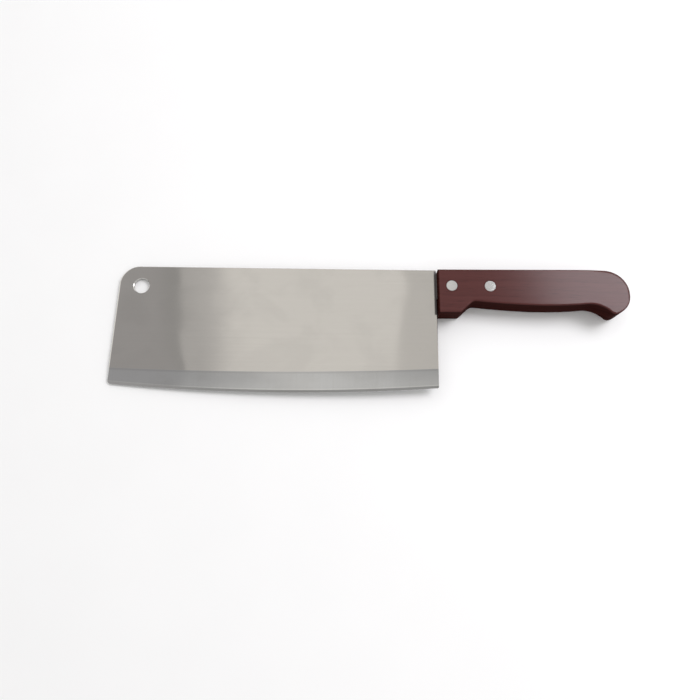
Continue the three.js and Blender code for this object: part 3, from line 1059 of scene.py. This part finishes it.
def near_edges(mesh, name):
    """Stores for each point of a mesh how near it is to an edge, from 0 to 1."""
    layer = mesh.verts.layers.float.new(name)
    places = np.array([tuple(v.co) for v in mesh.verts])
    inward = from_outline(places[:, :2])
    under = HALF_HANDLE - np.abs(places[:, 2])
    near = 1 - ease(np.hypot(inward, under), THINNEST, FULL_COAT)
    for vertex, share in zip(mesh.verts, near):
        vertex[layer] = share
    return near


near = near_edges(wood_mesh, "near_edge")
print("near an edge:", int((near > 0.5).sum()), "of", len(near), "points")
print("creases on the handle:", mark_creases(wood_mesh, CREASE_ANGLES["handle"]), "edges")

# %% [markdown]
# ## Varnished dark wood
#
# The wood is a hardwood stained to a deep reddish brown, under a thin satin varnish. Grain is a solid
# pattern: rings round a heart that lies outside the handle, drawn out along its length. So the sides show
# long streaks and the end shows the rings, as if it had been cut from a real board. Pores are short dark
# dashes. The sawn walls and the sawn front get a much darker stain: painted shade for the walls, which face
# down and away from the light, and partly the end grain of the front, which takes stain deeper. The varnish
# is the shader's coat: full on the flat sides, thin on the edges, the walls and the sawn front.

# %% Dark wood
DEEP_STAIN = (0.072, 0.02, 0.0185, 1)
WARM_STAIN = (0.088, 0.0255, 0.0235, 1)
PORE_STAIN = (0.014, 0.005, 0.005, 1)
# Much darker stains for the sawn walls and the front: painted shade, and partly end grain at the front.
SHADED_WALL_DEEP = (0.016, 0.003, 0.0022, 1)
SHADED_WALL_WARM = (0.042, 0.0105, 0.0085, 1)
HEART_Y = -64
HEART_Z = -38

dark_wood, start = new_finish("dark_wood")
place = place_in_mm(start)
across = parts_of(place)
sway = (grain(place, (0.012, 0.04, 0.04), detail=2) - 0.5) * 9
from_heart = distance(start, {"Y": across["Y"] - HEART_Y + sway, "Z": across["Z"] - HEART_Z})
ring_place = start.node("ShaderNodeCombineXYZ", {}, {"X": across["X"] * 0.004, "Y": from_heart})
ring_streaks = grain(ring_place, (1.0, 0.55, 1.0), detail=3, roughness=0.6)
fibres = grain(place, (0.05, 2.6, 2.6), detail=3, roughness=0.6)
pores = rise(grain(place, (0.1, 3.2, 3.2), detail=1), 0.62, 0.72)
near_edge = start.node("ShaderNodeAttribute", {"attribute_name": "near_edge"})["Fac"]
patches = grain(place, (0.06, 0.12, 0.12), detail=3)
off_middle = start.node("ShaderNodeMath", {"operation": "ABSOLUTE"}, {0: across["Z"]})
on_side = rise(off_middle, HALF_HANDLE - ROUNDING, HALF_HANDLE - 0.3) * rise(across["X"], 0.6, 1.4)

stain = mix_colours(rise(ring_streaks, 0.3, 0.7), DEEP_STAIN, WARM_STAIN)
stain = mix_colours(rise(fibres, 0.35, 0.7, 0, 0.3), stain, DEEP_STAIN)
stain = mix_colours(pores * 0.45, stain, PORE_STAIN)
# Painted shade: the walls and the sawn front get the much darker stain.
shaded_wall_stain = mix_colours(rise(ring_streaks, 0.32, 0.68), SHADED_WALL_DEEP, SHADED_WALL_WARM)
shaded_wall_stain = mix_colours(rise(fibres, 0.4, 0.7, 0, 0.5), shaded_wall_stain, SHADED_WALL_DEEP)
stain = mix_colours((1 - on_side) * 0.95, stain, shaded_wall_stain)
wood_height = fibres * 0.000006 - pores * 0.00002 + patches * 0.00004

principled(start, dark_wood, {
    "Base Color": stain,
    "Roughness": rise(patches, 0.3, 0.7, 0.4, 0.52) + pores * 0.15,
    "Specular IOR Level": 0.0,
    "Coat Weight": 0.04 + on_side * (0.6 - near_edge * 0.3),
    "Coat Roughness": 0.2,
    "Coat IOR": 1.45,
    "Normal": bump(wood_height),
})
make_piece("wood_handle", wood_mesh, [dark_wood], KNIFE, "handle")

# %% [markdown]
# ## Rivets
#
# Each rivet is a cutler's rivet in two halves: a hollow sleeve pressed in from the side that shows, and a
# pin driven into it from the other side. They are turned parts, so a profile spun round the z axis is the
# natural way to make them. After riveting the heads were sanded flush together with the wood, so their
# marks run lengthwise, and dirt stays in the ring round each head.

# %% Rivet metal
SANDED_LIGHT = (0.76, 0.76, 0.75, 1)
SANDED_DARK = (0.62, 0.62, 0.61, 1)
GRIME = (0.2, 0.17, 0.15, 1)
GRIME_WIDTH = 0.3

rivet_metal, start = new_finish("sanded_aluminium")
place = place_in_mm(start)
across = parts_of(place)
from_axis = distance(start, {"X": across["X"], "Y": across["Y"]})
sanding = grain(place, (0.25, 9.0, 1.0), detail=4, roughness=0.65)
grime = rise(from_axis, RIVET_RADIUS - GRIME_WIDTH, RIVET_RADIUS)
metal_colour = mix_colours(rise(sanding, 0.35, 0.7), SANDED_LIGHT, SANDED_DARK)
principled(start, rivet_metal, {
    "Base Color": mix_colours(grime * 0.55, metal_colour, GRIME),
    "Metallic": 1.0,
    "Roughness": rise(sanding, 0.3, 0.7, 0.13, 0.18) + grime * 0.15,
    "Normal": bump(sanding * 0.000003),
})

# %% Turn the rivets
HEAD_CHAMFER = 0.12
HEAD_DOME = 0.03
SLEEVE_RADIUS = 2.4
PIN_RADIUS = 1.4
PIN_BORE = 1.65
SLEEVE_END = -4.35
PIN_END = 4.15
BORE_END = PIN_END + GLUE_GAP

# At half its radius a shallow dome keeps three quarters of its height.
head = [
    (RIVET_RADIUS, HEAD_FOOT), (RIVET_RADIUS, HEAD_TOP - HEAD_CHAMFER),
    (RIVET_RADIUS - HEAD_CHAMFER, HEAD_TOP), (RIVET_RADIUS / 2, HEAD_TOP + 0.75 * HEAD_DOME),
    (0, HEAD_TOP + HEAD_DOME),
]
sleeve_profile = [
    (0, BORE_END), (PIN_BORE, BORE_END), (PIN_BORE, SLEEVE_END),
    (SLEEVE_RADIUS, SLEEVE_END), (SLEEVE_RADIUS, HEAD_FOOT), *head,
]
pin_profile = [
    *((radius, -height) for radius, height in reversed(head)),
    (PIN_RADIUS, -HEAD_FOOT), (PIN_RADIUS, PIN_END), (0, PIN_END),
]
for where, spot in RIVET_PLACES.items():
    for half, profile in (("sleeve", sleeve_profile), ("pin", pin_profile)):
        half_mesh = turned(profile)
        mark_creases(half_mesh, CREASE_ANGLES["rivet"])
        seat = KNIFE @ Matrix.Translation(Vector((spot.x, spot.y, 0)) * MM)
        make_piece(f"{where}_{half}", half_mesh, [rivet_metal], seat, f"{where}_rivet_{half}")

# %% [markdown] ## Sizes, and the end The dressed cleaver's box is printed beside the CAD part's.

# %% Print the boxes
visual_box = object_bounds()
boxes = {"cad": [list(corner) for corner in cad_box], "visual": [list(corner) for corner in visual_box]}
for name, box in boxes.items():
    print(name, "box in mm:", [[round(c / MM, 2) for c in corner] for corner in box])
